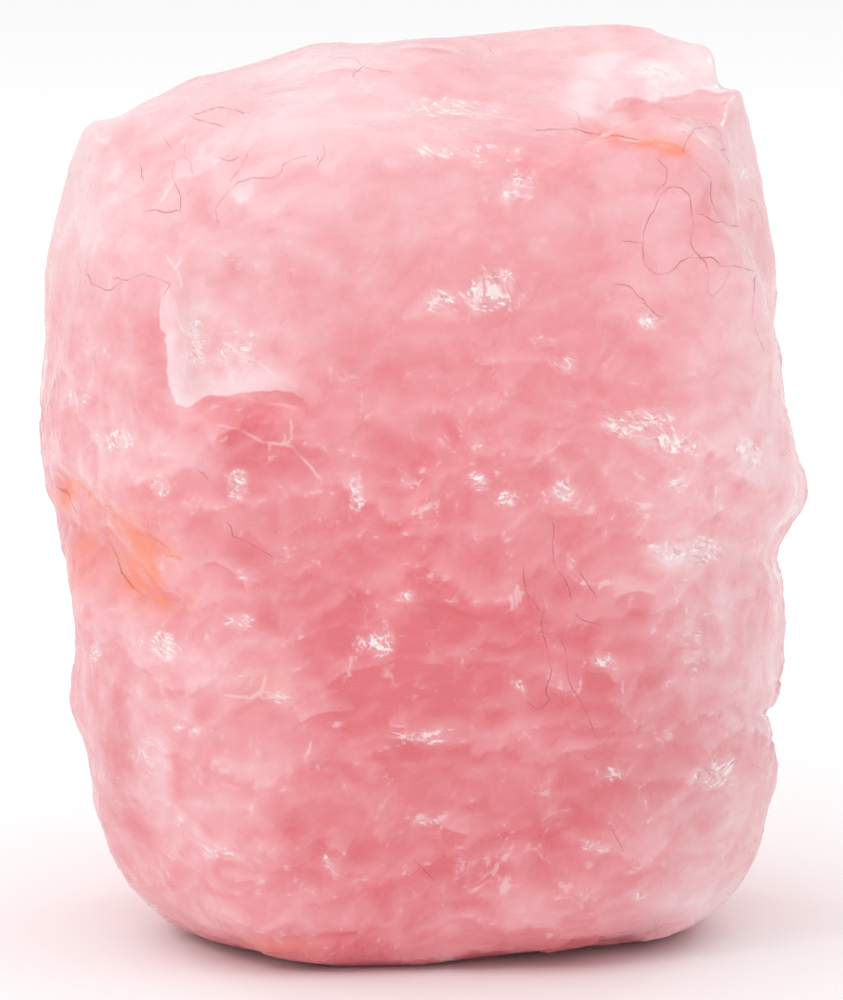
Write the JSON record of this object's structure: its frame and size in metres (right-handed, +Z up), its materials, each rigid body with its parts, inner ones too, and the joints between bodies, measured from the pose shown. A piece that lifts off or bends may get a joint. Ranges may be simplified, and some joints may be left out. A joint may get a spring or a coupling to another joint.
{
  "type": "rose quartz chunk",
  "caption": "Rough blocky chunk of translucent pink rose quartz with scalloped broken faces, a ledge and a flat base, set out as an ornament.",
  "frame": {"origin": "on the resting plane under the middle of the stone's bounding box", "axes": "+Z up from the base, front of the stone towards -Y, +X to the right of someone who faces the front"},
  "size_m": [0.1076, 0.0886, 0.126],
  "materials": {
    "rose_quartz": "translucent pink with pale veils, fine rusty cracks and orange stains, glassy to satin on broken faces"
  },
  "bodies": {
    "root": {"rose_quartz_chunk": "rose_quartz"}
  },
  "joints": []
}
